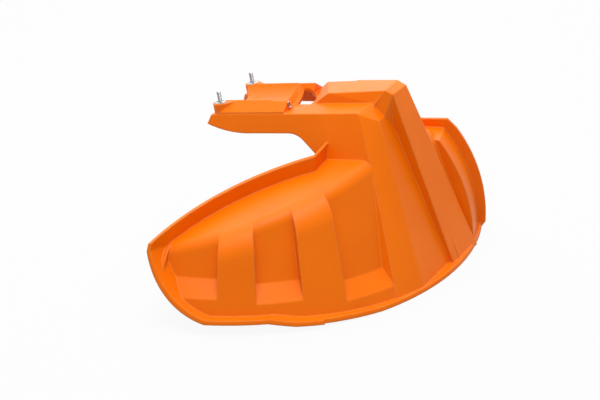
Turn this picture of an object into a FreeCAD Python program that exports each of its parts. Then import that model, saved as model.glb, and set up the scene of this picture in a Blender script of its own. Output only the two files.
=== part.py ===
import FreeCAD, Part
import os
import Sketcher

# Blade guard of a brush cutter: one thin-walled moulding hung on two upright studs.
# Frame: origin midway between the two studs on the tops of their washers, called the seats below; +Z up
# along the tool's spindle, +X along the arm towards the operator, rim of the skirt level.
# All lengths in millimetres, slopes as rise over run.

doc = FreeCAD.newDocument("blade_guard")
sheet = doc.addObject("Spreadsheet::Sheet", "Sizes")

SIZES = (
    # skirt
    ("wall", 3.2, "wall thickness of the moulding"),
    ("rim_radius", 267, "outside of the skirt wall at the rim"),
    ("rim_drop", 146.5, "rim below the stud seats"),
    ("wall_slope", 0.4, "lean of the skirt wall towards the spindle"),
    ("skirt_rise", 190, "height the skirt wall is drawn to before it is cut"),
    ("flange_width", 9, "flange beyond the wall"),
    ("flange_thick", 4, "thickness of the flange"),
    ("back_round", 291.8, "round of the flange along the back, at the rim"),
    ("back_shift_x", 18.7, "centre of that round behind the spindle"),
    ("back_shift_y", 5.1, "centre of that round to the right of the spindle"),
    ("back_start", 41, "left end of the back flange, degrees from the arm"),
    # left wing
    ("wing_start", 95, "left end of the wing's wall before it is trimmed, degrees from the arm"),
    ("wing_sweep", 90, "sweep of that wall towards the spine"),
    ("plate_drop", 45.2, "left top plate below the seats, carried on to the spindle"),
    ("plate_slope", 0.2, "fall of the left top plate away from the middle plane"),
    ("plate_fall", 0.2, "fall of the left top plate towards its end"),
    ("shoulder_round", 34, "round between top plate and wall"),
    ("wing_end_x", 47, "left end of the wing"),
    ("wing_end_drop", 72, "top of the wing's rounded end below the seats"),
    ("wing_end_run", 68, "length of the rounded end"),
    ("wing_end_round", 104, "round of the wing's end"),
    ("rim_step", 10.5, "rise of the rim on the left"),
    ("rim_step_x", 168, "where the raised rim ends"),
    ("rim_step_run", 22, "length of the ramp down to the lower rim"),
    ("rim_sag", 5.5, "further fall of the rim up to the spine"),
    ("rim_sag_x", 245, "where the rim is lowest"),
    ("lip_height", 16, "lip above the top plate"),
    ("lip_thick", 3.4, "thickness of the lip"),
    ("lip_round", 206.8, "plan radius of the lip"),
    ("lip_end_x", 48, "left end of the lip"),
    ("lip_end_y", 246, "left end of the lip, out from the middle plane"),
    ("lip_turn_x", 140, "where the lip turns towards the spine"),
    ("lip_turn_y", 75.5, "where the lip turns, out from the middle plane"),
    ("lip_root_y", 46, "right end of the lip, inside the spine wall"),
    # recessed panels, angles measured from the arm towards the left wing
    ("recess_depth", 12, "depth of the panels"),
    ("recess_round", 14, "round between top plate and panel floor"),
    ("foot_a", 103, "foot of the left panel below the seats"),
    ("foot_b", 108, "foot of the middle panel below the seats"),
    ("foot_c", 117, "foot of the right panel below the seats"),
    ("ledge_slope", 0.8, "fall of the ledge under each panel"),
    ("panel_a_start", 75, "left side of the left panel"),
    ("panel_a_sweep", 12.5, "width of the left panel"),
    ("panel_b_start", 54, "left side of the middle panel"),
    ("panel_b_sweep", 10.5, "width of the middle panel"),
    ("panel_c_start", 33.5, "left side of the right panel"),
    ("panel_c_sweep", 25, "width of the right panel, into the spine"),
    # back of the spine, given at the rim and at a level above the bend
    ("spine_top", 45, "level of the upper section above the seats"),
    ("spine_inner", 131, "inner end of the spine along the arm"),
    ("side_x_low", 241, "outer edge of the slanted corner face at the rim"),
    ("side_y_low", 128, "half width over the slanted corner faces at the rim"),
    ("side_x_high", 157.5, "outer edge of the slanted corner face at the upper section"),
    ("side_y_high", 37, "half width over the slanted corner faces at the upper section"),
    ("back_x_low", 264, "back face at the rim"),
    ("back_y_low", 63, "half width of the back face at the rim"),
    ("back_x_high", 180.5, "back face at the upper section"),
    ("back_y_high", 29, "half width of the back face at the upper section"),
    # hump along the arm and down the back
    ("hump_half", 15, "half width of the hump at its top"),
    ("hump_foot", 27.5, "half width of the hump at its foot on the arm"),
    ("hump_start", 93, "left end of the hump along the arm, at its foot"),
    ("hump_rise", 4.5, "top of the hump above the seats"),
    ("hump_rake", 16, "run of the hump's sloped left end"),
    ("hump_bend", 193, "start of the bevel at the bend, along the arm"),
    ("hump_end_rake", 14, "run of the ridge's sloped right end"),
    ("hump_bevel_run", 11, "length of the bevel"),
    ("hump_bevel_drop", 7.5, "fall of the bevel"),
    ("hump_x_high", 196, "back of the hump at the upper section"),
    ("hump_x_low", 269, "back of the hump at the rim"),
    ("hump_y_near", 2, "near edge of the hump at the rim, past the middle plane"),
    ("hump_y_far", 60, "far edge of the hump at the rim"),
    # arm, in its own tilted frame
    ("arm_tilt", 12, "rise of the arm towards the operator, degrees"),
    ("arm_half", 42.6, "half width of the arm over its side walls, at the ledge"),
    ("side_flare", 0.3, "spread of the side walls downwards"),
    ("ledge_drop", 12, "ledge beside the hump below the seats"),
    ("arm_deep", 31.5, "lower edge of the arm's sides below the seats"),
    ("prong_chin", 10, "rise of the lower edge at the prong tips"),
    ("prong_chin_end", 45, "where that rise starts"),
    ("prong_round", 150, "round of the lower edge up to the prong tips"),
    ("arm_deep_end", 100, "where the lower edge turns down to the spine"),
    ("arm_deep_bend", 10.5, "length of the round at that turn, on each side"),
    ("spine_deep", 60, "lower end of that fall below the seats"),
    ("prong_nose", 1.5, "tip of the prongs beyond the studs, at the top"),
    ("prong_rake", 12.7, "further reach of the prongs at the bottom"),
    ("ledge_bend", 173, "start of the ledge bevel at the bend, along the arm"),
    ("ledge_bevel", 0.6, "fall of the ledge bevel"),
    ("rail_half", 28, "half width over the rails beside the trough, at their top"),
    ("rail_drop", 0.5, "top of the rails below the seats"),
    ("rail_edge", 10, "top of the side walls below the seats, beside the rails"),
    ("rail_end", 84, "right end of the rails along the arm"),
    ("trough_radius", 42, "round of the trough"),
    ("trough_axis", 30.5, "axis of the trough above the seats"),
    ("trough_length", 62, "right end of the trough along the arm"),
    ("pocket_start", 67, "left end of the pocket along the arm"),
    ("pocket_end", 92, "right end of the pocket along the arm"),
    ("pocket_radius", 34, "round of the pocket"),
    ("pocket_axis", 15.6, "axis of the pocket above the seats"),
    ("notch_radius", 28, "round notch between the prongs"),
    ("notch_back", 8, "bottom of that notch along the arm"),
    ("boss_round", 8.5, "round front of the stud bosses"),
    ("boss_near", 3, "outer side of the bosses behind the studs"),
    ("boss_length", 22, "inner side of the bosses behind the studs"),
    ("boss_deep", 18, "underside of the bosses below the seats"),
    ("window_start", 71, "left edge of the window along the arm"),
    ("window_length", 20.8, "length of the window"),
    ("window_near", 5.7, "near edge of the window from the middle"),
    ("window_far", 26, "far edge of the window from the middle"),
    ("window_round", 17, "round of the window's far corner"),
    ("window_corner", 15, "length of that round on each side"),
    # right wing
    ("right_radius", 270, "outside of the right wing at the rim"),
    ("right_start", 3, "start of the right wing under the hump, degrees from the arm"),
    ("right_end", 23, "end of the right wing, degrees from the arm"),
    ("right_inner", 150, "inner edge of the right wing's top plate"),
    ("right_drop", 1, "right top plate below the seats, at the middle plane"),
    ("right_slope", 0.376, "fall of the right top plate away from the middle plane"),
    ("right_round", 24, "round between right top plate and wall"),
    ("band_start", 13, "start of the raised band, degrees from the arm"),
    ("band_low", 271, "raised band at the rim"),
    ("band_high", 228, "raised band at its top"),
    ("band_top", 30, "top of the raised band below the seats"),
    ("band_round", 186, "round of the raised band"),
    ("end_flange", 9, "flange round the right end"),
    ("end_flange_turn", 0.9, "thickness of that flange, degrees round the spindle"),
    ("end_corner", 6, "height of the slanted corner where it meets the rim"),
    ("end_top", 7, "top of that flange above the raised band"),
    # studs
    ("stud_half", 33, "half distance of the studs"),
    ("stud_radius", 2.5, "stud radius"),
    ("stud_rise", 11, "stud above its washer"),
    ("neck_radius", 2.9, "smooth neck of the screw inside boss and washer"),
    ("neck_gap", 0.3, "clearance of neck and washer in the boss"),
    ("head_radius", 4.5, "head of the screw"),
    ("head_high", 4, "height of the head"),
    ("washer_gap", 0.1, "clearance of the washer on the neck"),
    ("washer_radius", 6.2, "retaining washer"),
    ("washer_thick", 1.6, "thickness of the retaining washer"),
)
for row, (name, value, meaning) in enumerate(SIZES, 1):
    sheet.set(f"A{row}", meaning)
    sheet.set(f"B{row}", str(value))
    sheet.setAlias(f"B{row}", name)
doc.recompute()

V = FreeCAD.Vector
UP = V(0, 0, 1)
PLANES = {
    "XY": FreeCAD.Rotation(V(1, 0, 0), V(0, 1, 0), V(0, 0, 1), "XYZ"),
    "XZ": FreeCAD.Rotation(V(1, 0, 0), V(0, 0, 1), V(0, -1, 0), "XYZ"),
    "YZ": FreeCAD.Rotation(V(0, 1, 0), V(0, 0, 1), V(1, 0, 0), "XYZ"),
}
FAR = 330            # beyond the moulding on every side
PAST = 40            # overlap of cutters past what they cut
INSIDE = 60          # closer to the spindle than any skirt wall
JOIN = 1             # overlap of solids that become one
OPEN_TURN = 25       # degrees by which the right hollow runs out of the open end
MARGIN_TURN = 6      # degrees by which a cutter runs past the sector it cuts


def number(formula):
    """Present value of a size formula."""
    return float(sheet.evalExpression(formula))


def sizes(text):
    """Formula with each size name in angle brackets turned into a reference to the sheet."""
    return str(text).replace("<", "Sizes.").replace(">", "")


def bind(thing, prop, formula):
    thing.setExpression(prop, sizes(formula))


def turn(thing, axis, formula):
    """Turn an object about an axis through the origin by a size in degrees."""
    thing.Placement = FreeCAD.Placement(V(), FreeCAD.Rotation(axis, number(sizes(formula))))
    bind(thing, "Placement.Rotation.Angle", formula)
    return thing


def tilt(thing):
    """Lay an object drawn along the arm into the arm's rise."""
    return turn(thing, V(0, -1, 0), "<arm_tilt>")


def outline(name, plane, corners, arcs=None, level=None):
    """Closed sketch through corners given as formula pairs; arcs names sides that are round:
    side number -> (radius formula, +1 when the side bulges to the right of the way round)."""
    arcs = arcs or {}
    sketch = doc.addObject("Sketcher::SketchObject", name)
    sketch.Placement = FreeCAD.Placement(V(), PLANES[plane])
    formulas = [(sizes(x), sizes(y)) for x, y in corners]
    points = [V(number(x), number(y), 0) for x, y in formulas]
    ends = []
    for side, start in enumerate(points):
        finish = points[(side + 1) % len(points)]
        if side in arcs:
            radius = number(sizes(arcs[side][0]))
            bulge = arcs[side][1]
            along = finish - start
            right = V(along.y, -along.x, 0) / along.Length
            inset = (radius ** 2 - along.Length ** 2 / 4) ** 0.5
            centre = (start + finish) / 2 - right * bulge * inset
            crown = centre + right * bulge * radius
            if bulge > 0:
                sketch.addGeometry(Part.Arc(start, crown, finish))
                ends.append((1, 2))
            else:
                sketch.addGeometry(Part.Arc(finish, crown, start))
                ends.append((2, 1))
        else:
            sketch.addGeometry(Part.LineSegment(start, finish))
            ends.append((1, 2))
    for side, (first, last) in enumerate(ends):
        following = (side + 1) % len(ends)
        sketch.addConstraint(Sketcher.Constraint("Coincident", side, last, following, ends[following][0]))
    for side, (x, y) in enumerate(formulas):
        for kind, formula, value in (("DistanceX", x, points[side].x), ("DistanceY", y, points[side].y)):
            index = sketch.addConstraint(Sketcher.Constraint(kind, -1, 1, side, ends[side][0], value))
            sketch.setExpression(f"Constraints[{index}]", formula)
    for side, (radius, bulge) in arcs.items():
        index = sketch.addConstraint(Sketcher.Constraint("Radius", side, number(sizes(radius))))
        sketch.setExpression(f"Constraints[{index}]", sizes(radius))
    if level is not None:
        bind(sketch, "Placement.Base.z", level)
    return sketch


def prism(name, sketch, direction, forward, back="0"):
    solid = doc.addObject("Part::Extrusion", name)
    solid.Base = sketch
    solid.DirMode = "Custom"
    solid.Dir = direction
    solid.Solid = True
    bind(solid, "LengthFwd", forward)
    bind(solid, "LengthRev", back)
    return solid


def across(name, corners, arcs=None):
    """Prism of a side-view outline, through the whole width."""
    return prism(name, outline(name + "Side", "XZ", corners, arcs), V(0, 1, 0), str(FAR), str(FAR))


def plan(name, corners, arcs=None):
    """Upright prism of a plan outline, through the whole height."""
    return prism(name, outline(name + "Plan", "XY", corners, arcs), UP, str(FAR), str(FAR))


def loft(name, low, high):
    """Straight-sided solid between a plan outline at the rim and one above the bend."""
    solid = doc.addObject("Part::Loft", name)
    solid.Sections = [outline(name + "Low", "XY", low, level="-<rim_drop>"),
                      outline(name + "High", "XY", high, level="<spine_top>")]
    solid.Solid = True
    solid.Ruled = True
    return solid


def cone(name, radius, start, sweep, toward_left=True):
    """Sector of the skirt's cone, from the rim up; start is measured from the arm to one side."""
    solid = doc.addObject("Part::Cone", name)
    bind(solid, "Radius1", radius)
    bind(solid, "Radius2", f"{radius} - <wall_slope> * <skirt_rise>")
    bind(solid, "Height", "<skirt_rise>")
    bind(solid, "Angle", sweep)
    turn(solid, V(0, 0, -1) if toward_left else UP, start)
    bind(solid, "Placement.Base.z", "-<rim_drop>")
    return solid


def spun(name, corners, start, sweep, arcs=None):
    """Sector turned from a radius-height outline; start is measured from the arm to the left."""
    solid = doc.addObject("Part::Revolution", name)
    solid.Source = outline(name + "Section", "XZ", corners, arcs)
    solid.Axis = UP
    solid.Base = V()
    solid.Solid = True
    bind(solid, "Angle", sweep)
    if start != "0":
        turn(solid, V(0, 0, -1), start)
    return solid


def fuse(name, *solids):
    result = doc.addObject("Part::MultiFuse", name)
    result.Shapes = list(solids)
    return result


def meet(name, *solids):
    result = doc.addObject("Part::MultiCommon", name)
    result.Shapes = list(solids)
    return result


def cut(name, base, tool):
    result = doc.addObject("Part::Cut", name)
    result.Base = base
    result.Tool = tool
    return result


def rounded(name, solid, radius):
    """Round the shoulder edge, the one that is neither straight nor a circle."""
    doc.recompute()
    body = doc.addObject("PartDesign::Body", name)
    body.BaseFeature = solid
    doc.recompute()
    base = body.Group[0]
    shoulders = [f"Edge{i}" for i, edge in enumerate(base.Shape.Edges, 1)
                 if edge.Curve.TypeId not in ("Part::GeomLine", "Part::GeomCircle")]
    fillet = body.newObject("PartDesign::Fillet", name + "Shoulder")
    fillet.Base = (base, shoulders)
    bind(fillet, "Radius", radius)
    body.Tip = fillet
    doc.recompute()
    return body


# Thickness of the wall measured level and upright through the leaning faces, round the spindle in degrees,
# upright under the panel ledges, and off the half widths of the slanted back
WALL_ACROSS = "<wall> * sqrt(1 + <wall_slope> ^ 2)"
WALL_UPRIGHT = "<wall> * sqrt(1 + <plate_slope> ^ 2 + <plate_fall> ^ 2)"
WALL_RIGHT = "<wall> * sqrt(1 + <right_slope> ^ 2)"
WALL_TURN = "<wall> / <rim_radius> * 180 / pi"
WALL_LEDGE = "<wall> * (1 + <ledge_slope>)"
WALL_SLANT = 0.8


def slab(name, top, bottom, slope, fall="0"):
    """Everything between two sloping levels, given where they are carried on to the spindle."""
    rise = f"{slope} * {FAR}"
    section = outline(name + "End", "YZ", (
        (-FAR, f"-({bottom}) - ({rise})"), (FAR, f"-({bottom}) + ({rise})"),
        (FAR, f"-({top}) + ({rise})"), (-FAR, f"-({top}) - ({rise})")))
    solid = prism(name, section, V(1, 0, number(sizes(fall))), str(2 * FAR))
    bind(solid, "Dir.z", fall)
    return solid


def left_block(name, inset, across_inset, upright_inset, round_size):
    """Solid under the left top plate, inside the skirt wall moved in by an amount."""
    radius = f"<rim_radius> - {inset} - ({across_inset})"
    top = f"<plate_drop> + {upright_inset}"
    block = meet(name + "Sharp", cone(name + "Cone", radius, "<wing_start>", "<wing_sweep>"),
                 slab(name + "Below", top, str(FAR), "<plate_slope>", "<plate_fall>"))
    return rounded(name, block, round_size)


def panels(name, grow, sink):
    """The three panel spaces in the left wing, wider by an angle and deeper at the foot."""
    parts = []
    for letter in "abc":
        foot = f"-<foot_{letter}> - {sink}"
        floor = f"<rim_radius> - <recess_depth> - <wall_slope> * (<rim_drop> - <foot_{letter}>)"
        corners = ((INSIDE, foot), (floor, foot), (FAR, f"{foot} - <ledge_slope> * ({FAR} - ({floor}))"),
                   (FAR, FAR), (INSIDE, FAR))
        parts.append(spun(f"{name}{letter.upper()}", corners, f"<panel_{letter}_start> + {grow}",
                          f"<panel_{letter}_sweep> + 2 * {grow}"))
    return fuse(name, *parts)


def left_wing(name, across_inset, upright_inset, grow, sink, less_round):
    whole = left_block(name + "Whole", "0", across_inset, upright_inset, f"<shoulder_round> - {less_round}")
    deep = left_block(name + "Deep", "<recess_depth>", across_inset, upright_inset,
                      f"<recess_round> - {less_round}")
    spaces = panels(name + "Panel", grow, sink)
    return fuse(name, cut(name + "Ribs", whole, spaces), meet(name + "Floors", deep, spaces))


def lip_plan(name, shift, root="0"):
    """Plan of the left wing outside the lip, moved out from the lip by an amount and at its root by another."""
    root_y = f"-<lip_root_y> - ({root})"
    turn_x = f"<lip_turn_x> + {shift}"
    end_x = f"<lip_end_x> + {shift}"
    return plan(name, (
        (turn_x, root_y), (turn_x, f"-<lip_turn_y> - {shift}"), (end_x, f"-<lip_end_y> - {shift}"),
        (end_x, -FAR), (FAR, -FAR), (FAR, root_y)), {1: ("<lip_round>", 1)})


def rim_plan(name, inset):
    """Side view above the rim, moved in by an amount: rounded end, raised rim on the left, ramp, lower rim."""
    left = f"<wing_end_x> + {inset}"
    raised = f"-<rim_drop> + <rim_step> + {inset}"
    lowest = f"-<rim_drop> + {inset}"
    return across(name, (
        (left, FAR), (left, "-<wing_end_drop>"), ("<wing_end_x> + <wing_end_run>", raised),
        ("<rim_step_x>", raised), ("<rim_step_x> + <rim_step_run>", f"{lowest} + <rim_sag>"),
        ("<rim_sag_x>", lowest), (FAR, lowest), (FAR, FAR)), {1: ("<wing_end_round>", 1)})


def bar(name, corners, start, finish):
    """Prism of an end-view outline along the arm."""
    return tilt(prism(name, outline(name + "End", "YZ", corners), V(1, 0, 0), finish, start))


def backbone(name, wall):
    """Arm and spine in one: side walls spreading downwards, slanted back, open below when hollow."""
    half = f"<arm_half> - {wall}"
    top = f"-<ledge_drop> - {wall}"
    spread = f"{half} + <side_flare> * {FAR}"
    sides = bar(name + "Sides", ((f"-({half})", top), (half, top), (spread, f"{top} - {FAR}"),
                                 (f"-({spread})", f"{top} - {FAR}")), str(PAST), str(FAR))
    nose = f"-<prong_nose> + {wall}"
    chin = (f"{nose} - <prong_rake>", "-<arm_deep> + <prong_chin>")
    if wall == "0":
        fall = "(<spine_deep> - <arm_deep>) / (<spine_inner> - <arm_deep_end>)"
        turned = f"atan({fall})"
        lower = (chin, ("<prong_chin_end>", "-<arm_deep>"), ("<arm_deep_end> - <arm_deep_bend>", "-<arm_deep>"),
                 (f"<arm_deep_end> + <arm_deep_bend> * cos({turned})",
                  f"-<arm_deep> - <arm_deep_bend> * sin({turned})"),
                 ("<spine_inner>", "-<spine_deep>"), ("<spine_inner>", -FAR))
        arcs = {2: ("<prong_round>", 1), 4: (f"<arm_deep_bend> / tan({turned} / 2)", -1)}
    else:
        lower = (chin, (chin[0], -FAR))
        arcs = {}
    bend = (FAR, f"{top} - <ledge_bevel> * ({FAR} - <ledge_bend>)")
    bevel = (f"<ledge_bend> - {PAST} / <ledge_bevel>", f"{top} + {PAST}")
    side_view = ((nose, f"{top} + {PAST}"), (nose, "0")) + lower + ((FAR, -FAR), bend, bevel)
    back = loft(name + "Back",
                back_section("<side_x_low>", "<side_y_low>", "<back_x_low>", "<back_y_low>", wall),
                back_section("<side_x_high>", "<side_y_high>", "<back_x_high>", "<back_y_high>", wall))
    return meet(name, sides, tilt(across(name + "View", side_view, arcs)), back)


def back_section(side_x, side_y, back_x, back_y, wall):
    """Plan of everything in front of the spine's back and slanted corner faces."""
    x1, x2 = f"{side_x} - {wall}", f"{back_x} - {wall}"
    y1, y2 = f"{side_y} - {WALL_SLANT} * {wall}", f"{back_y} - {WALL_SLANT} * {wall}"
    inner = -2 * PAST
    return ((inner, f"-({y1})"), (x1, f"-({y1})"), (x2, f"-({y2})"), (x2, y2), (x1, y1), (inner, y1))


def rails(name, wall):
    """Raised top of the arm beside the trough and the pocket."""
    foot = f"-<ledge_drop> - {wall} - {JOIN}"
    base = f"<arm_half> - <side_flare> * (<ledge_drop> - <rail_edge>) - {wall}"
    edge = f"-<rail_edge> - {wall}"
    half = f"<rail_half> - {wall} / 2"
    top = f"-<rail_drop> - {wall}"
    return bar(name, ((f"-({base})", foot), (base, foot), (base, edge), (half, top), (f"-({half})", top),
                      (f"-({base})", edge)), f"<prong_nose> - {wall}", f"<rail_end> - {wall}")


def hump(name, wall):
    """Ridge along the arm, over the bend and down the back."""
    top = f"<hump_rise> - {wall}"
    half = f"<hump_half> - {wall} / 2"
    spread = "(<hump_foot> - <hump_half>) / (<hump_rise> + <ledge_drop>)"
    below_ledge = f"(<ledge_bevel> * (<hump_bend> - <ledge_bend>) + {JOIN})"
    deep = f"(<hump_rise> + <ledge_drop> + {below_ledge})"
    foot = f"{half} + {spread} * {deep}"
    run = f"{deep} / (<hump_rise> + <ledge_drop>)"
    start = f"<hump_start> + <hump_rake> + {wall}"
    end = f"<hump_bend> - 2 * {wall}"
    ridge = meet(name + "Ridge",
                 bar(name + "Bar", ((f"-({foot})", f"{top} - {deep}"), (foot, f"{top} - {deep}"), (half, top),
                                    (f"-({half})", top)), "0", str(FAR)),
                 tilt(across(name + "View", (
                     (f"{start} - <hump_rake> * {run}", f"{top} - {deep}"),
                     (f"{end} - <hump_end_rake> * {run}", f"{top} - {deep}"), (end, top),
                     (start, top)))))
    near, far = f"<hump_y_near> + {wall}", f"<hump_y_far> - {wall}"
    half = f"<hump_half> - {wall}"
    low_x, high_x = f"<hump_x_low> - {wall}", f"<hump_x_high> - {wall}"
    low_root, high_root = f"<hump_x_low> - {INSIDE}", f"<hump_x_high> - {INSIDE}"
    down = loft(name + "Back",
                ((low_root, near), (low_x, near), (low_x, far), (low_root, far)),
                ((high_root, f"-({half})"), (high_x, f"-({half})"), (high_x, half), (high_root, half)))
    past_bend = f"<hump_bend> + {PAST} * <hump_bevel_run>"
    below = tilt(across(name + "Below", (
        (-FAR, -2 * FAR), (past_bend, -2 * FAR), (past_bend, f"{top} - {PAST} * <hump_bevel_drop>"),
        ("<hump_bend>", top), (-FAR, top))))
    return fuse(name, ridge, meet(name + "Bent", down, below))


def right_wing(name, wall, across_inset, upright_inset, turn_inset, past_end, inner):
    """Solid under the right top plate with the raised band at its end, moved in by the wall."""
    block = meet(name + "Sharp",
                 cone(name + "Cone", f"<right_radius> - ({across_inset})", f"<right_start> + {turn_inset}",
                      f"<right_end> - <right_start> + {past_end}", False),
                 slab(name + "Below", f"<right_drop> + {upright_inset}", str(FAR), "-<right_slope>"))
    panel = rounded(name + "Panel", block, f"<right_round> - {wall}")
    band_top = f"-<band_top> - {wall}"
    band = spun(name + "Band", (
        (INSIDE, "-<rim_drop>"), (f"<band_low> - {wall}", "-<rim_drop>"),
        (f"<band_high> - {wall}", band_top), (INSIDE, band_top)),
        "0", f"<right_end> - <band_start> + {past_end} / 2", {1: ("<band_round>", 1)})
    turn(band, UP, f"<band_start> + {turn_inset}")
    side = plan(name + "Side", ((inner, 0), (FAR, 0), (FAR, FAR), (inner, FAR)))
    return meet(name, fuse(name + "Whole", panel, band), side)


def ring(name, radius, axis, place="0"):
    """Circle square to the arm, round an axis above the seats."""
    circle = doc.addObject("Sketcher::SketchObject", name)
    circle.Placement = FreeCAD.Placement(V(), PLANES["YZ"])
    bind(circle, "Placement.Base.x", place)
    height, size = number(sizes(axis)), number(sizes(radius))
    circle.addGeometry(Part.Circle(V(0, height, 0), UP, size))
    circle.addConstraint(Sketcher.Constraint("PointOnObject", 0, 3, -2))
    circle.addConstraint(Sketcher.Constraint("DistanceY", -1, 1, 0, 3, height))
    circle.addConstraint(Sketcher.Constraint("Radius", 0, size))
    circle.setExpression("Constraints[1]", sizes(axis))
    circle.setExpression("Constraints[2]", sizes(radius))
    return circle


def along_arm(name, radius, axis, start, finish):
    """Round bar along the arm."""
    return tilt(prism(name, ring(name + "Ring", radius, axis), V(1, 0, 0), finish, f"-({start})"))


def hollowed(name, wall):
    """Trough from the nose, slanted step and deeper pocket behind it, each wider by the wall."""
    trough, pocket = f"<trough_radius> + {wall}", f"<pocket_radius> + {wall}"
    upper, lower = f"<trough_length> - {wall}", f"<pocket_start> - {wall}"
    step = doc.addObject("Part::Loft", name + "Step")
    step.Sections = [ring(name + "StepUp", trough, "<trough_axis>", upper),
                     ring(name + "StepDown", pocket, "<pocket_axis>", lower)]
    step.Solid = True
    step.Ruled = True
    return fuse(name, along_arm(name + "Trough", trough, "<trough_axis>", f"-{PAST}", upper), tilt(step),
                along_arm(name + "Pocket", pocket, "<pocket_axis>", lower, f"<pocket_end> + {wall}"))


def upright_on_arm(name, radius, low, high, along="0", over="0"):
    """Round pin square to the arm at a place along and across it."""
    pin = doc.addObject("Part::Cylinder", name)
    bind(pin, "Radius", radius)
    bind(pin, "Height", f"{high} - ({low})")
    tilt(pin)
    bind(pin, "Placement.Base.x", f"({along}) * cos(<arm_tilt> * 1deg) - ({low}) * sin(<arm_tilt> * 1deg)")
    bind(pin, "Placement.Base.y", over)
    bind(pin, "Placement.Base.z", f"({along}) * sin(<arm_tilt> * 1deg) + ({low}) * cos(<arm_tilt> * 1deg)")
    return pin


# Bosses for the studs, on both sides of the trough, round in front and cut off slanting behind
STUDS = ((-1, "Near"), (1, "Far"))
bosses = []
for side, tag in STUDS:
    outer = f"{side} * (<arm_half> - {JOIN})"
    inner = f"{side} * (<stud_half> - <boss_round> - {JOIN})"
    web = outline(f"Web{tag}Plan", "XY", (
        ("-<prong_nose>", inner), ("-<prong_nose>", outer), ("<boss_near>", outer),
        ("<boss_length>", f"{side} * (<rail_half> - {JOIN})"), ("<boss_length>", inner)))
    bosses.append(tilt(prism(f"Web{tag}", web, UP, "-<washer_thick>", "<boss_deep>")))
    bosses.append(upright_on_arm(f"Boss{tag}", "<boss_round>", "-<boss_deep>", "-<washer_thick>", "0",
                                 f"{side} * <stud_half>"))

# Arm with spine, left wing, hump and right wing as full solids, and the spaces inside them
notch_middle = "<notch_back> - <notch_radius>"
notch = upright_on_arm("Notch", "<notch_radius>", f"-{FAR}", str(FAR), notch_middle)
notch_wall = upright_on_arm("NotchWall", "<notch_radius> + <wall>", f"-{FAR}", str(FAR), notch_middle)
spine_whole = fuse("SpineWhole", backbone("Spine", "0"), rails("Rails", "0"), *bosses)
dish = hollowed("Dish", "0")
dish_wall = hollowed("DishWall", "<wall>")
spine_out = cut("SpineOut", spine_whole, fuse("Dished", dish, notch))
spine_space = fuse("SpineSpace", backbone("SpineHollow", "<wall>"), rails("RailHollow", "<wall>"))
spine_in = cut("SpineIn", spine_space, fuse("SpineSolid", dish_wall, notch_wall, *bosses))
wing_out = meet("LeftOut", left_wing("LeftWing", "0", "0", "0", "0", "0"), lip_plan("LipOutside", "0"))
wing_space = meet("LeftSpace",
                  left_wing("LeftHollow", WALL_ACROSS, WALL_UPRIGHT, WALL_TURN, WALL_LEDGE, "<wall>"),
                  lip_plan("LipOpen", f"-{PAST}", "<wall>"))
wing_in = cut("LeftIn", wing_space, spine_out)
hump_out = cut("HumpOut", hump("Hump", "0"), dish)
hump_in = cut("HumpIn", hump("HumpHollow", "<wall>"), dish_wall)
right_out = right_wing("RightWing", "0", "0", "0", "0", "0", "<right_inner>")
right_in = right_wing("RightHollow", "<wall>", WALL_ACROSS, WALL_RIGHT, WALL_TURN, str(OPEN_TURN),
                      f"<right_inner> - {PAST}")

# Lip along the inner edge of the left wing
rim_keep = rim_plan("RimKeep", "0")
lip_level = "<plate_drop> - <lip_height>"
lip = meet("Lip", cut("LipBand", lip_plan("LipOuter", "0"), lip_plan("LipInner", "<lip_thick>")),
           slab("LipSlab", lip_level, f"<plate_drop> + {WALL_UPRIGHT}", "<plate_slope>", "<plate_fall>"),
           cone("LipReach", "<rim_radius> + <flange_width>", "<wing_start>", "<wing_sweep>"))
skirt = meet("Skirt", fuse("SkirtWhole", wing_out, lip), rim_keep)

# Flange along the rim, round the left end and round the right end
rim_band = cut("RimBand", rim_keep, rim_plan("RimInner", "<flange_thick>"))
flange_left = meet("FlangeLeft", rim_band,
                   cone("FlangeLeftOut", "<rim_radius> + <flange_width>", "<wing_start>",
                        f"<wing_start> - <back_start> + {JOIN}"),
                   slab("FlangeBelow", lip_level, str(FAR), "<plate_slope>", "<plate_fall>"),
                   lip_plan("FlangePlan", "0"))
back_sweep = "<back_start> + <right_end>"
back_out = cone("FlangeOut", "<back_round>", "<back_start>", back_sweep)
bind(back_out, "Placement.Base.x", "-<back_shift_x>")
bind(back_out, "Placement.Base.y", "<back_shift_y>")
back_in = cone("FlangeIn", f"<rim_radius> - ({WALL_ACROSS})", f"<back_start> + {MARGIN_TURN}",
               f"{back_sweep} + 2 * {MARGIN_TURN}")
back_side = plan("BackSide", (("<right_inner>", -FAR), (FAR, -FAR), (FAR, FAR), ("<right_inner>", FAR)))
flange_back = meet("FlangeBack", rim_band, cut("FlangeRing", back_out, back_in), back_side)
back_end = "<back_round> - <back_shift_x> * cos(<right_end> * 1deg) + <back_shift_y> * sin(<right_end> * 1deg)"
flange_top = "-<band_top> + <end_top>"
flange_end = spun("FlangeEnd", (
    ("<right_inner>", "-<rim_drop>"), (back_end, "-<rim_drop>"),
    ("<band_low> + <end_flange>", "-<rim_drop> + <end_corner>"), ("<band_high> + <end_flange>", flange_top),
    ("<right_inner>", flange_top)), "0", "<end_flange_turn>", {2: ("<band_round>", 1)})
turn(flange_end, UP, "<right_end> - <end_flange_turn>")

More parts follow.
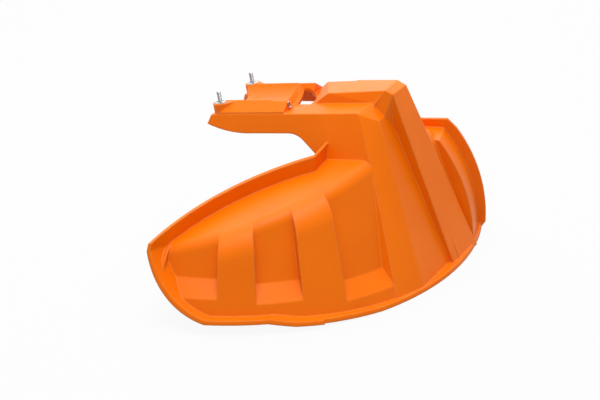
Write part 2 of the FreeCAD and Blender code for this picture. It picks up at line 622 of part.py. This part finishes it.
# One moulding: everything outside, less everything inside, less the window, the two stud holes and
# the spot faces under the washers
moulding = fuse("Moulding", skirt, flange_left, flange_back, spine_out, hump_out, right_out, flange_end)
walls = cut("Walls", moulding, fuse("Hollow", wing_in, spine_in, hump_in, right_in))
window_end = "<window_start> + <window_length>"
window = tilt(plan("Window", (
    ("<window_start>", "<window_near>"), (window_end, "<window_near>"),
    (window_end, "<window_far> - <window_corner>"), (f"{window_end} - <window_corner>", "<window_far>"),
    ("<window_start>", "<window_far>")), {2: ("<window_round>", 1)}))
holes = []
for side, tag in STUDS:
    place = ("0", f"{side} * <stud_half>")
    spot = "<washer_radius> + <neck_gap>"
    holes.append(upright_on_arm(f"Hole{tag}", "<neck_radius> + <neck_gap>", f"-{PAST}", str(PAST), *place))
    holes.append(upright_on_arm(f"Seat{tag}", spot, "-<washer_thick>", str(PAST), *place))
guard = cut("Guard", walls, fuse("Openings", window, *holes))

# Two screws standing up through the bosses, each held by a washer pressed over it
screws = []
washers = []
for side, tag in STUDS:
    place = ("0", f"{side} * <stud_half>")
    stud = upright_on_arm(f"Stud{tag}", "<stud_radius>", "0", "<stud_rise>", *place)
    neck = upright_on_arm(f"Neck{tag}", "<neck_radius>", "-<boss_deep>", "0", *place)
    head = upright_on_arm(f"Head{tag}", "<head_radius>", "-<boss_deep> - <head_high>", "-<boss_deep>", *place)
    screws.append(fuse(f"Screw{tag}", stud, neck, head))
    disc = upright_on_arm(f"Disc{tag}", "<washer_radius>", "-<washer_thick>", "0", *place)
    bore = upright_on_arm(f"Bore{tag}", "<neck_radius> + <washer_gap>", f"-<washer_thick> - {JOIN}", str(JOIN),
                          *place)
    washers.append(cut(f"Washer{tag}", disc, bore))
nodes = {"guard_shell": guard}
for node, group in (("mounting_screws", screws), ("retaining_washers", washers)):
    nodes[node] = doc.addObject("Part::Compound", node)
    nodes[node].Links = group
doc.recompute()

for thing in doc.Objects:
    if "Invalid" in thing.State or "Error" in thing.State:
        raise RuntimeError(f"{thing.Name} was not computed")
os.makedirs("parts", exist_ok=True)
for node, thing in nodes.items():
    if thing.Shape.isNull() or not thing.Shape.isValid():
        raise RuntimeError(f"{node} is not a sound solid")
    thing.Shape.exportStep(f"parts/{node}.step")
    print(node, len(thing.Shape.Solids), "solids", round(thing.Shape.Volume), "mm3")
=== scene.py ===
# %% [markdown]
# # The blade guard of a brush cutter
# The real part is one orange moulding that hangs under the gear head and keeps cut stems off the
# operator. Two zinc-plated studs hold it. The moulding's skin comes from the CAD frame. This lesson fits
# its hump to the photograph, gives it a plastic finish, makes the small metal pieces and sets up a pale
# studio round it.

# %% Load the frame
import math
import bmesh
import bpy
from mathutils import Matrix, Vector


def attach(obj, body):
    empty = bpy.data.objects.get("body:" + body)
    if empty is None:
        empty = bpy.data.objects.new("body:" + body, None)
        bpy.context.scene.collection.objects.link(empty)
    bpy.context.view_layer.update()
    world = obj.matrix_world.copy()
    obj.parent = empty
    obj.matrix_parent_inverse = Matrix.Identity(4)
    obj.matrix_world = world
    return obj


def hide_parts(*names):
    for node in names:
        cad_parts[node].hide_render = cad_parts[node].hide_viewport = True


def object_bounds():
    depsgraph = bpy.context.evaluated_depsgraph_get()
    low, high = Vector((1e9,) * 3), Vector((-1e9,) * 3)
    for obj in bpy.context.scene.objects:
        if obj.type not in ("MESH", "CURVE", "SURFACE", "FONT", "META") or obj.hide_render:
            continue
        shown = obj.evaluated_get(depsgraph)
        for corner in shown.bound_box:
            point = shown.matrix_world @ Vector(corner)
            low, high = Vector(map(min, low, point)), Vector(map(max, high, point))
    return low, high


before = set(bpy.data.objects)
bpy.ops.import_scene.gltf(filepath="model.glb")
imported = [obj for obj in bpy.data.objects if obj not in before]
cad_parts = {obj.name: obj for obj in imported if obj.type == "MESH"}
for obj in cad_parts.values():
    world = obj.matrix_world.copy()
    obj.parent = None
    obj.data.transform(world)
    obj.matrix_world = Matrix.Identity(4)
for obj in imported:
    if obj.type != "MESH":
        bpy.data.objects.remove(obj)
cad_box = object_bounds()
MM = 0.001
print("CAD nodes:", sorted(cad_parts))

# %% [markdown]
# ## Where things sit
# The arm of the guard rises from the studs to the hump, so the studs, which stand square to it, lean a
# little. One small function turns a place given along, across and above the arm into the shared frame.
# Every metal piece is then drawn upright at the origin and laid into the arm by one matrix.

# %% The arm's own directions
ARM_TILT = math.radians(12)
STUD_HALF = 33
ARM_FRAME = Matrix.Rotation(-ARM_TILT, 4, "Y")


def on_arm(along, across, above):
    """Matrix that lays a piece drawn at the origin onto the arm, millimetres in the arm's directions."""
    return ARM_FRAME @ Matrix.Translation(Vector((along, across, above)) * MM)


STUD_PLACES = [on_arm(0, side * STUD_HALF, 0) for side in (-1, 1)]
print("stud seats:", [tuple(round(v / MM, 1) for v in place.translation) for place in STUD_PLACES])

# %% [markdown]
# ## Writing shader maths as sums
# A material in Blender is a net of nodes, and long nets are hard to read as code. The class below wraps
# one socket, so that an ordinary sum such as `1 - mask` adds the Math node for it. Any other node comes
# from `make`, which sets the node's settings first and then its sockets.

# %% A socket that takes part in sums
class Line:
    """One output socket of a node tree."""

    def __init__(self, tree, socket=None):
        self.tree = tree
        self.socket = socket

    def feed(self, socket, value):
        """Put a number, a colour or another line into an input socket."""
        if isinstance(value, Line):
            self.tree.links.new(value.socket, socket)
        else:
            socket.default_value = value

    def make(self, kind, settings, sockets, out=0):
        """New node of a type, with its settings, such as an operation, and then its sockets."""
        node = self.tree.nodes.new("ShaderNode" + kind)
        for key, value in settings.items():
            setattr(node, key, value)
        for key, value in sockets.items():
            self.feed(node.inputs[key], value)
        return Line(self.tree, node.outputs[out])

    def maths(self, operation, first, second):
        return self.make("Math", {"operation": operation}, {0: first, 1: second})

    def __add__(self, other):
        return self.maths("ADD", self, other)

    def __sub__(self, other):
        return self.maths("SUBTRACT", self, other)

    def __rsub__(self, other):
        return self.maths("SUBTRACT", other, self)

    def __mul__(self, other):
        return self.maths("MULTIPLY", self, other)

    __radd__ = __add__
    __rmul__ = __mul__

    def ramp(self, low, high):
        """0 below one value, 1 above another, straight between them."""
        return self.make("MapRange", {"clamp": True}, {0: self, 1: low, 2: high, 3: 0.0, 4: 1.0})

    def tint(self, low, high):
        """A colour mixed from two by this line."""
        return self.make("Mix", {"data_type": "RGBA"}, {0: self, 6: low, 7: high}, 2)

    def noise(self, scale, detail, **sockets):
        """Noise at the places that this line gives."""
        return self.make("TexNoise", {}, {"Vector": self, "Scale": scale, "Detail": detail, **sockets})


def new_material(name):
    """Empty material, its shader and a line to start sums from."""
    material = bpy.data.materials.new(name)
    material.use_nodes = True
    shader = material.node_tree.nodes["Principled BSDF"]
    return material, shader, Line(material.node_tree)


print("shader sums ready")

# %% [markdown]
# ## The orange plastic
# Guards like this are moulded in glass-filled nylon with a fine spark-eroded grain: a deep orange that
# turns pale where it mirrors the sky, never a mirror itself. Three things make it read as plastic: a grain
# of about a millimetre, slow changes of tone where the melt flowed, and edges that are slightly round. A
# paler tone along those edges is partly rubbed wear and partly a painted highlight, standing in for the
# light that round edges catch. The roundness comes from a Bevel node, which bends the normals at every
# sharp edge over the same small radius. Where the bent normal leaves the flat one, there is an edge. The
# specular level is low, so that upright faces keep their full orange in a white studio.

# %% Moulded plastic
ORANGE = (0.83, 0.160, 0.0, 1)
ORANGE_DEEP = (0.79, 0.146, 0.0, 1)
# Pale edge colour: partly rubbed wear, partly a painted highlight where round edges catch the light.
ORANGE_WEAR_AND_HIGHLIGHT = (0.95, 0.34, 0.08, 1)
EDGE_ROUND = 2.4 * MM
GRAIN_HIGH = 0.3 * MM


def moulded_plastic():
    material, shader, start = new_material("moulded_orange")
    place = start.make("TexCoord", {}, {}, "Object")
    grain = place.noise(900.0, 2.0, Roughness=0.6)
    melt = place.noise(11.0, 3.0, Distortion=0.6)
    handling = place.noise(60.0, 5.0, Roughness=0.7)
    soft_edge = start.make("Bevel", {"samples": 6}, {"Radius": EDGE_ROUND})
    flat = start.make("NewGeometry", {}, {}, "Normal")
    turned = start.make("VectorMath", {"operation": "DOT_PRODUCT"}, {0: soft_edge, 1: flat}, "Value")
    edge = (1 - turned).ramp(0.02, 0.25)
    body = melt.ramp(0.35, 0.65).tint(ORANGE_DEEP, ORANGE)
    # Paler tone on edges, broken up by noise: partly rubbed wear, partly a painted edge highlight.
    wear_and_highlight = edge * handling.ramp(0.2, 0.6) * 0.8
    start.feed(shader.inputs["Base Color"], wear_and_highlight.tint(body, ORANGE_WEAR_AND_HIGHLIGHT))
    start.feed(shader.inputs["Roughness"], 0.30 + handling * 0.14 + grain * 0.06)
    bump = start.make("Bump", {}, {"Strength": 0.12, "Distance": GRAIN_HIGH, "Height": grain,
                                   "Normal": soft_edge})
    start.feed(shader.inputs["Normal"], bump)
    start.feed(shader.inputs["IOR"], 1.52)
    start.feed(shader.inputs["Specular IOR Level"], 0.12)
    return material


orange = moulded_plastic()
print("plastic:", orange.name, "with", len(orange.node_tree.nodes), "nodes")

# %% [markdown]
# ## Fitting the hump to the photograph
# The real hump starts further along the arm than the solid's, is wider at its top, and leaves the window
# open to view. Its faces are flat, so a few corners carry the whole form. The table gives each of them a
# new place, outside and inside alike, so that the wall keeps about its thickness.

# %% Corners of the hump, in millimetres along, across and above the arm
HUMP_START = 93
HUMP_FOOT = 27.5
LEDGE = -12
CORNER_REACH = 0.2
HUMP_CORNERS = {
    (HUMP_START, -HUMP_FOOT, LEDGE): (111, -21, -8),
    (HUMP_START, HUMP_FOOT, LEDGE): (97, 21, -4),
    (109, -15, 4.5): (129, -20, 2.7),
    (109, 15, 4.5): (107, 18.3, 2.9),
    (173, -HUMP_FOOT, LEDGE): (180, -22, -8),
    (177, -29.3, -14.4): (182.5, -24.5, -11.2),
    (177, -13, -14.4): (184.2, -22.8, -11.8),
    (192, -12.5, -23.4): (192, -22, -23.4),
    (193, -15, 4.5): (195, -17.5, 3.6),
    (96.2, -25.9, -15.2): (114.5, -18.6, -11.2),
    (96.2, 25.9, -15.2): (101.5, 18.6, -7.5),
    (112.2, -13.4, 1.3): (131.5, -17.4, -0.6),
    (112.2, 13.4, 1.3): (110.2, 15.6, -0.4),
    (172.6, -25.9, -15.2): (176, -19.2, -11.4),
    (186.6, -13.4, 1.3): (186.6, -15, 0.2),
}


def along_arm(point):
    """Place of a point of the shared frame along, across and above the arm, millimetres."""
    return ARM_FRAME.inverted() @ point / MM


print("corners of the hump to move:", len(HUMP_CORNERS))

# %% [markdown]
# ## The far wall and the end flange
# Two more places differ by a few millimetres. Daylight shows through the window under the far side wall of
# the arm, so the lower edge of that wall is lifted, most in the middle and not at all at its ends, and
# stays in the wall's leaning plane. The top corner of the right wing's end flange moves in and up, which
# leaves it blunt.

# %% Where each point of the skin goes
FAR_LIFT = 5.2
FAR_FLARE = 0.3
FAR_SIDE = 38
FAR_DEPTHS = (-45, -20)
FAR_STRETCH = (10, 110)
LIFT_GROWS = 20
LIFT_FADES = 30
FLANGE_CORNER = along_arm(Vector((218.9, 90.9, -23)) * MM)
FLANGE_MOVE = along_arm(Vector((-4.6, -2.0, 3.3)) * MM)
FLANGE_REACH = 2.4


def far_edge(place):
    """A place on the lower edge of the far side wall, lifted; any other comes back as it is."""
    start, end = FAR_STRETCH
    low, high = FAR_DEPTHS
    if not (place.y > FAR_SIDE and low < place.z < high and start < place.x < end):
        return place
    lift = FAR_LIFT * min(1, (place.x - start) / LIFT_GROWS, (end - place.x) / LIFT_FADES)
    return place + Vector((0, -FAR_FLARE * lift, lift))


def fitted_place(place):
    """New place of a point of the skin, or the place itself where it stays."""
    for old, new in HUMP_CORNERS.items():
        if (place - Vector(old)).length < CORNER_REACH:
            return Vector(new)
    if (place - FLANGE_CORNER).length < FLANGE_REACH:
        return place + FLANGE_MOVE
    return far_edge(place)


print("flange corner moves", round(FLANGE_MOVE.length, 1), "mm, far edge up to", FAR_LIFT, "mm")

# %% [markdown]
# ## The pocket's ramp
# In the solid, the arm's pocket ends in an upright wall in front of the hump. With the hump moved back, a
# ramp takes its place. It is ruled: each point of the round at the pocket's end is joined by a straight
# line to its own point on the hump's foot, so the ramp needs no more points than the round has.

# %% Ramp
POCKET_END = 92
POCKET_DEEP = -18.6
RAMP_FOOT = [Vector(HUMP_CORNERS[(HUMP_START, side * HUMP_FOOT, LEDGE)]) for side in (-1, 1)]


def in_end_wall(place):
    """Whether a place lies in the upright end wall of the solid's pocket."""
    return (POCKET_END - CORNER_REACH < place.x < HUMP_START + CORNER_REACH
            and POCKET_DEEP < place.z < LEDGE + CORNER_REACH)


def pocket_ramp(places):
    """Quads from the round at the pocket's end to the foot of the hump, as corner places."""
    edge = [p for p in places if in_end_wall(p) and p.x < POCKET_END + CORNER_REACH]
    round_end = sorted({tuple(round(v, 2) for v in p) for p in edge}, key=lambda p: p[1])
    first, last = round_end[0][1], round_end[-1][1]
    near, far = RAMP_FOOT
    foot = [near.lerp(far, (p[1] - first) / (last - first)) for p in round_end]
    rows = list(zip([Vector(p) for p in round_end], foot))
    return [(a, b, d, c) for (a, c), (b, d) in zip(rows, rows[1:])]


print("ramp's foot:", [tuple(round(v, 1) for v in place) for place in RAMP_FOOT])

# %% [markdown]
# ## A new skin for the moulding
# A CAD node's own mesh is never changed, so the fitted skin is a new mesh that stands for it. It keeps the
# node's smooth normals. Only the faces that have a moved point, and the ramp, take a flat normal.

# %% The moulding
def flat_normal(corners):
    a, b, c = corners[:3]
    return (b - a).cross(c - a).normalized()


def fitted_skin(old_mesh):
    """New mesh like another, with its points fitted and the pocket's end wall made a ramp."""
    places = [along_arm(vertex.co) for vertex in old_mesh.vertices]
    fitted = [fitted_place(place) for place in places]
    points = [on_arm(*place).translation for place in fitted]
    faces, normals = [], []
    for face in old_mesh.polygons:
        if all(in_end_wall(places[i]) for i in face.vertices):
            continue
        faces.append(tuple(face.vertices))
        if any(fitted[i] is not places[i] for i in face.vertices):
            normals += [flat_normal([points[i] for i in face.vertices])] * len(face.vertices)
        else:
            normals += [old_mesh.corner_normals[i].vector.copy() for i in face.loop_indices]
    for quad in pocket_ramp(places):
        corners = [on_arm(*place).translation for place in quad]
        up = flat_normal(corners)
        if up.z < 0:
            corners.reverse()
            up = -up
        faces.append(tuple(range(len(points), len(points) + len(corners))))
        points += corners
        normals += [up] * len(corners)
    mesh = bpy.data.meshes.new("guard_moulding")
    mesh.from_pydata(points, [], faces)
    mesh.materials.append(orange)
    mesh.shade_smooth()
    mesh.normals_split_custom_set(normals)
    print(sum(new is not old for new, old in zip(fitted, places)), "points moved,", len(faces), "faces")
    return mesh


def add_object(name, data):
    """New object in the scene from a mesh, a lamp or a camera."""
    thing = bpy.data.objects.new(name, data)
    bpy.context.scene.collection.objects.link(thing)
    return thing


moulding = add_object("guard_moulding", fitted_skin(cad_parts["guard_shell"].data))
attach(moulding, "root")
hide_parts("guard_shell")

# %% [markdown]
# ## Zinc-plated steel
# The studs, washers and clip are small bright zinc. Plating is a metal with cloudy patches, so roughness
# and tone follow one noise, and a second, stretched upwards, leaves faint drawing lines.

# %% Zinc plating
ZINC_DULL = (0.30, 0.305, 0.31, 1)
ZINC_BRIGHT = (0.50, 0.50, 0.495, 1)
LINE_STRETCH = (1, 1, 0.08)
LINE_DEEP = 0.05 * MM


def zinc_plating():
    material, shader, start = new_material("zinc_plating")
    place = start.make("TexCoord", {}, {}, "Object")
    cloud = place.noise(420.0, 3.0)
    stretched = start.make("Mapping", {}, {"Vector": place, "Scale": LINE_STRETCH})
    lines = stretched.noise(2600.0, 2.0)
    start.feed(shader.inputs["Base Color"], cloud.ramp(0.3, 0.7).tint(ZINC_DULL, ZINC_BRIGHT))
    start.feed(shader.inputs["Roughness"], 0.26 + cloud * 0.2 + lines * 0.08)
    bump = start.make("Bump", {}, {"Strength": 0.1, "Distance": LINE_DEEP, "Height": lines})
    start.feed(shader.inputs["Normal"], bump)
    start.feed(shader.inputs["Metallic"], 1.0)
    return material


zinc = zinc_plating()
print("metal:", zinc.name, "with", len(zinc.node_tree.nodes), "nodes")

# %% [markdown]
# ## A helper for turned pieces
# Studs and washers are turned or pressed round an axis. One function makes a skin from rings, and each ring
# gives a radius and a height at every angle, which is enough for threads, hexagons and teeth.

# %% Skins made of rings
SMOOTH_ANGLE = math.radians(35)


def ring_skin(bm, rings, place):
    """Join a stack of rings into a skin; each ring is a list of (radius, angle, height)."""
    rows = []
    for ring in rings:
        corners = [Vector((r * math.cos(a), r * math.sin(a), h)) for r, a, h in ring]
        rows.append([bm.verts.new(place @ corner) for corner in corners])
    for low, high in zip(rows, rows[1:]):
        for i in range(len(low)):
            ahead = (i + 1) % len(low)
            bm.faces.new((low[i], low[ahead], high[ahead], high[i]))


def zinc_piece(name, bm):
    """Turn a bmesh into a zinc piece that rides on the guard."""
    bmesh.ops.recalc_face_normals(bm, faces=bm.faces)
    mesh = bpy.data.meshes.new(name)
    bm.to_mesh(mesh)
    bm.free()
    mesh.materials.append(zinc)
    mesh.shade_smooth()
    mesh.set_sharp_from_angle(angle=SMOOTH_ANGLE)
    piece = add_object(name, mesh)
    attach(piece, "root")
    print(name, len(mesh.polygons), "faces")
    return piece


print("zinc pieces are smooth below", round(math.degrees(SMOOTH_ANGLE)), "degrees")

# %% [markdown]
# ## Threaded studs
# Each stud is a screw pushed up through its boss: a head below, a plain shank in the boss and a thread
# above its washer. The thread is cut as a radius that falls and rises once each pitch and once each turn,
# so the ridge climbs like the real helix, and it runs out in a small chamfer at the tip.

# %% Rings of a stud
STUD_RADIUS = 2.5 * MM
STUD_RISE = 11 * MM
THREAD_PITCH = 0.8 * MM
THREAD_DEPTH = 0.42 * MM
TIP_CHAMFER = 0.7 * MM
TURN_STEPS = 24
TURN_ANGLES = [math.tau * i / TURN_STEPS for i in range(TURN_STEPS)]


def thread_radius(angle, height):
    """Radius of the threaded part at an angle and a height above the seat."""
    phase = (height / THREAD_PITCH - angle / math.tau) % 1.0
    groove = THREAD_DEPTH * (1 - abs(2 * phase - 1))
    tip = max(0.0, height - (STUD_RISE - TIP_CHAMFER))
    return STUD_RADIUS - max(groove, tip)


def plain_ring(radius, height):
    return [(radius, angle, height) for angle in TURN_ANGLES]


def hexagon_ring(inner_radius, height):
    """Ring that follows a hexagon."""
    sector = math.tau / 6
    return [(inner_radius / math.cos(angle % sector - sector / 2), angle, height) for angle in TURN_ANGLES]


def thread_ring(height):
    return [(thread_radius(angle, height), angle, height) for angle in TURN_ANGLES]


print("thread turns:", round(STUD_RISE / THREAD_PITCH, 2))

# %% Studs
SHANK_RADIUS = 2.9 * MM
SHANK_NECK = 0.2 * MM
BOSS_DEEP = 18 * MM
HEAD_RADIUS = 4.5 * MM
HEAD_HIGH = 4 * MM
HEAD_ROUND = [(1.2 * MM, 0.0), (0.3 * MM, 0.5 * MM), (0.0, 1.3 * MM)]
SOCKET_HALF = 1.9 * MM
SOCKET_DEEP = 2 * MM
CLOSING_RADIUS = 0.02 * MM
RINGS_PER_PITCH = 6


def add_stud(bm, place):
    """One screw, ring by ring from the floor of its socket, round its head and up to its tip."""
    foot = -BOSS_DEEP - HEAD_HIGH
    rings = [plain_ring(CLOSING_RADIUS, foot + SOCKET_DEEP), hexagon_ring(SOCKET_HALF, foot + SOCKET_DEEP),
             hexagon_ring(SOCKET_HALF, foot)]
    rings += [plain_ring(HEAD_RADIUS - inset, foot + rise) for inset, rise in HEAD_ROUND]
    rings += [plain_ring(HEAD_RADIUS, -BOSS_DEEP), plain_ring(SHANK_RADIUS, -BOSS_DEEP),
              plain_ring(SHANK_RADIUS, -SHANK_NECK), plain_ring(STUD_RADIUS, 0.0)]
    layers = round(STUD_RISE / (THREAD_PITCH / RINGS_PER_PITCH))
    rings += [thread_ring(STUD_RISE * layer / layers) for layer in range(1, layers + 1)]
    rings.append(plain_ring(CLOSING_RADIUS, STUD_RISE))
    ring_skin(bm, rings, place)


stud_mesh = bmesh.new()
for stud_place in STUD_PLACES:
    add_stud(stud_mesh, stud_place)
studs = zinc_piece("threaded_studs", stud_mesh)
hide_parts("mounting_screws")

# %% [markdown]
# ## Push-on washers
# A thin spring washer is pressed over each screw and bites with small teeth, so that the screw can't drop
# out. It is dished: the flat rim lies in a spot face of the boss and the teeth rise towards the stud.

# %% Washers
WASHER_RADIUS = 6.2 * MM
WASHER_FOOT = -1.6 * MM
WASHER_GAUGE = 0.6 * MM
WASHER_BORE = SHANK_RADIUS + 0.1 * MM
WASHER_STEPS = 48
RIM_ROUND = 0.2 * MM
RIM_CHAMFER = 0.15 * MM
BEND_RADIUS = 4.4 * MM
BEND_RISE = 0.55 * MM
BEND_SPREAD = 0.1 * MM
TOOTH_STEPS = 4
TOOTH_GAP = 1.1 * MM


def washer_ring(radius, height, gap=0.0):
    """Ring of a washer; every second group of steps is cut back by the gap between two teeth."""
    ring = []
    for i in range(WASHER_STEPS):
        back = gap if (i // TOOTH_STEPS) % 2 else 0.0
        ring.append((radius + back, math.tau * i / WASHER_STEPS, height))
    return ring


def add_washer(bm, place):
    """One washer, ring by ring: out along its underside, up its rim, back along its top and down its bore."""
    bend = WASHER_FOOT + BEND_RISE
    teeth = -WASHER_GAUGE
    rings = [washer_ring(WASHER_BORE, teeth, TOOTH_GAP),
             washer_ring(BEND_RADIUS, bend),
             washer_ring(WASHER_RADIUS - RIM_ROUND, WASHER_FOOT),
             washer_ring(WASHER_RADIUS, WASHER_FOOT + RIM_ROUND),
             washer_ring(WASHER_RADIUS - RIM_CHAMFER, WASHER_FOOT + WASHER_GAUGE),
             washer_ring(BEND_RADIUS + BEND_SPREAD, bend + WASHER_GAUGE),
             washer_ring(WASHER_BORE, teeth + WASHER_GAUGE, TOOTH_GAP),
             washer_ring(WASHER_BORE, teeth, TOOTH_GAP)]
    ring_skin(bm, rings, place)


washer_mesh = bmesh.new()
for stud_place in STUD_PLACES:
    add_washer(washer_mesh, stud_place)
bmesh.ops.remove_doubles(washer_mesh, verts=washer_mesh.verts, dist=1e-6)
washers = zinc_piece("push_washers", washer_mesh)
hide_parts("retaining_washers")

# %% [markdown]
# ## The rail's clip
# A small bright clip is pushed onto the end of the near rail. It is a strip of spring steel, bent over the
# rail at its top and kicked out at its foot, with a slot in its face. A strip is easiest to draw from its
# side view, so the bent line is given as points, thickened along its own normals and pulled across to the
# strip's width. The slot is left open by drawing the strip in four pieces round it.

# %% Clip
CLIP_PLACE = on_arm(84, -29, -6.2)
CLIP_HALF = 2.5 * MM
CLIP_GAUGE = 0.5 * MM
CLIP_LINE = [(-1.5, 2.9), (-0.2, 2.9), (0.4, 2.5), (0.6, 1.7), (0.6, -1.7), (0.9, -2.4), (1.6, -2.8)]
SLOT_HALF = 1.1 * MM
SLOT_TOP, SLOT_FOOT = 2, 4


def strip_sides(line):
    """Lower and upper line of a bent strip, each point moved along its normal by half the gauge."""
    sides = []
    for sign in (-0.5, 0.5):
        moved = []
        for i, point in enumerate(line):
            ahead = line[min(i + 1, len(line) - 1)] - line[max(i - 1, 0)]
            normal = Vector((-ahead.y, ahead.x)).normalized()
            moved.append(point + normal * CLIP_GAUGE * sign)
        sides.append(moved)
    return sides


def add_strip(bm, line, near, far):
    """Bent strip between two places across the arm."""
    under, over = strip_sides([Vector(point) * MM for point in line])
    loop = under + over[::-1]
    ends = [[bm.verts.new(CLIP_PLACE @ Vector((p.x, y, p.y))) for p in loop] for y in (near, far)]
    count = len(loop)
    for i in range(count):
        ahead = (i + 1) % count
        bm.faces.new((ends[0][i], ends[0][ahead], ends[1][ahead], ends[1][i]))
    for end in ends:
        for i in range(len(line) - 1):
            bm.faces.new((end[i], end[i + 1], end[count - 2 - i], end[count - 1 - i]))


clip_mesh = bmesh.new()
for near, far in ((-CLIP_HALF, -SLOT_HALF), (SLOT_HALF, CLIP_HALF)):
    add_strip(clip_mesh, CLIP_LINE, near, far)
for stretch in (CLIP_LINE[:SLOT_TOP + 1], CLIP_LINE[SLOT_FOOT:]):
    add_strip(clip_mesh, stretch, -SLOT_HALF, SLOT_HALF)
zinc_piece("rail_clip", clip_mesh)

# %% [markdown]
# ## White studio
# The photograph is a cut-out on white. More light would wash the orange out, so the white is only what the
# camera sees: to camera, mirror and see-through rays the world is plain white and the floor nearly so. To
# all other rays the world is a soft fill and the floor is grey. The small share of grey that stays in view
# keeps a faint shadow under the guard.

# %% World
FILL = 0.62
BACKGROUND_RAYS = ("Is Camera Ray", "Is Glossy Ray", "Is Transmission Ray")


def background_rays(start):
    """1 for the rays that see the white background, 0 for the others."""
    direct, mirrored, through = (start.make("LightPath", {}, {}, kind) for kind in BACKGROUND_RAYS)
    return start.maths("MAXIMUM", start.maths("MAXIMUM", direct, mirrored), through)


world = bpy.data.worlds.new("studio")
bpy.context.scene.world = world
world.use_nodes = True
sky = Line(world.node_tree)
background = world.node_tree.nodes["Background"]
sky.feed(background.inputs["Color"], (1, 1, 1, 1))
sky.feed(background.inputs["Strength"], FILL + background_rays(sky) * (1 - FILL))
print("world fills at", FILL)

# %% Floor
FLOOR_GREY = (0.5, 0.5, 0.5, 1)
FLOOR_ROUGHNESS = 0.9
FLOOR_WHITE = 0.92
FLOOR_HALF = 6
FLOOR_GAP = 0.5 * MM


def pale_floor():
    """Finish that is grey to the light and nearly white to the camera."""
    material, shader, start = new_material("pale_floor")
    start.feed(shader.inputs["Base Color"], FLOOR_GREY)
    start.feed(shader.inputs["Roughness"], FLOOR_ROUGHNESS)
    grey = Line(material.node_tree, shader.outputs[0])
    white = start.make("Emission", {}, {})
    seen = start.make("MixShader", {}, {0: background_rays(start) * FLOOR_WHITE, 1: grey, 2: white})
    start.feed(material.node_tree.nodes["Material Output"].inputs["Surface"], seen)
    return material


floor_grid = bmesh.new()
bmesh.ops.create_grid(floor_grid, x_segments=1, y_segments=1, size=FLOOR_HALF)
bmesh.ops.translate(floor_grid, verts=floor_grid.verts, vec=(0, 0, cad_box[0].z - FLOOR_GAP))
floor_mesh = bpy.data.meshes.new("floor")
floor_grid.to_mesh(floor_mesh)
floor_grid.free()
floor_mesh.materials.append(pale_floor())
add_object("floor", floor_mesh)
print("floor at", round(floor_mesh.vertices[0].co.z, 4))

# %% [markdown]
# ## Lamps
# The light in the photograph is soft and comes from above. A small lamp overhead lights the faces that look
# up, and a large one behind the guard leaves a sheen on them. Both are area lamps, whose shadows are soft.

# %% Lamps
MIDDLE = Vector((0.13, -0.05, -0.06))


def softbox(name, place, size, watts):
    """Square area lamp that looks at the middle of the guard."""
    lamp = bpy.data.lights.new(name, "AREA")
    lamp.size = size
    lamp.energy = watts
    thing = add_object(name, lamp)
    thing.location = place
    thing.rotation_euler = (Vector(place) - MIDDLE).to_track_quat("Z", "Y").to_euler()
    print("lamp", name, size, "m wide,", watts, "W")


softbox("overhead", (0.15, -0.25, 1.4), 0.8, 17)
softbox("behind", (-0.55, 1.15, 1.25), 2.8, 36)

# %% [markdown]
# ## Camera
# The photograph looks down at about 26 degrees from the side of the long wing. The camera's three axes are
# worked out from those angles. The origin lies midway between the stud seats, so the camera is set back
# along the view and shifted until the origin falls on the pixel where the photograph has it.

# %% Camera
AZIMUTH, ELEVATION = math.radians(-60), math.radians(26)
DISTANCE = 1.535
PIXEL = 1.1 * MM
SEAT_PIXEL = (236.75, 91.25)
IMAGE = (600, 400)
SENSOR = 36
level = Vector((math.cos(AZIMUTH), math.sin(AZIMUTH), 0))
back = level * math.cos(ELEVATION) + Vector((0, 0, math.sin(ELEVATION)))
right = Vector((-math.sin(AZIMUTH), math.cos(AZIMUTH), 0))
up = back.cross(right)
shift_right = (IMAGE[0] / 2 - SEAT_PIXEL[0]) * PIXEL
shift_down = (IMAGE[1] / 2 - SEAT_PIXEL[1]) * PIXEL
eye = back * DISTANCE + right * shift_right - up * shift_down
camera_data = bpy.data.cameras.new("camera")
camera_data.sensor_width = SENSOR
camera_data.lens = SENSOR * DISTANCE / (PIXEL * IMAGE[0])
camera = add_object("camera", camera_data)
camera.matrix_world = Matrix((right, up, back)).transposed().to_4x4()
camera.matrix_world.translation = eye
bpy.context.scene.camera = camera
bpy.context.scene.view_settings.view_transform = "Standard"
print("lens", round(camera_data.lens, 1), "mm at", tuple(round(v, 3) for v in eye))
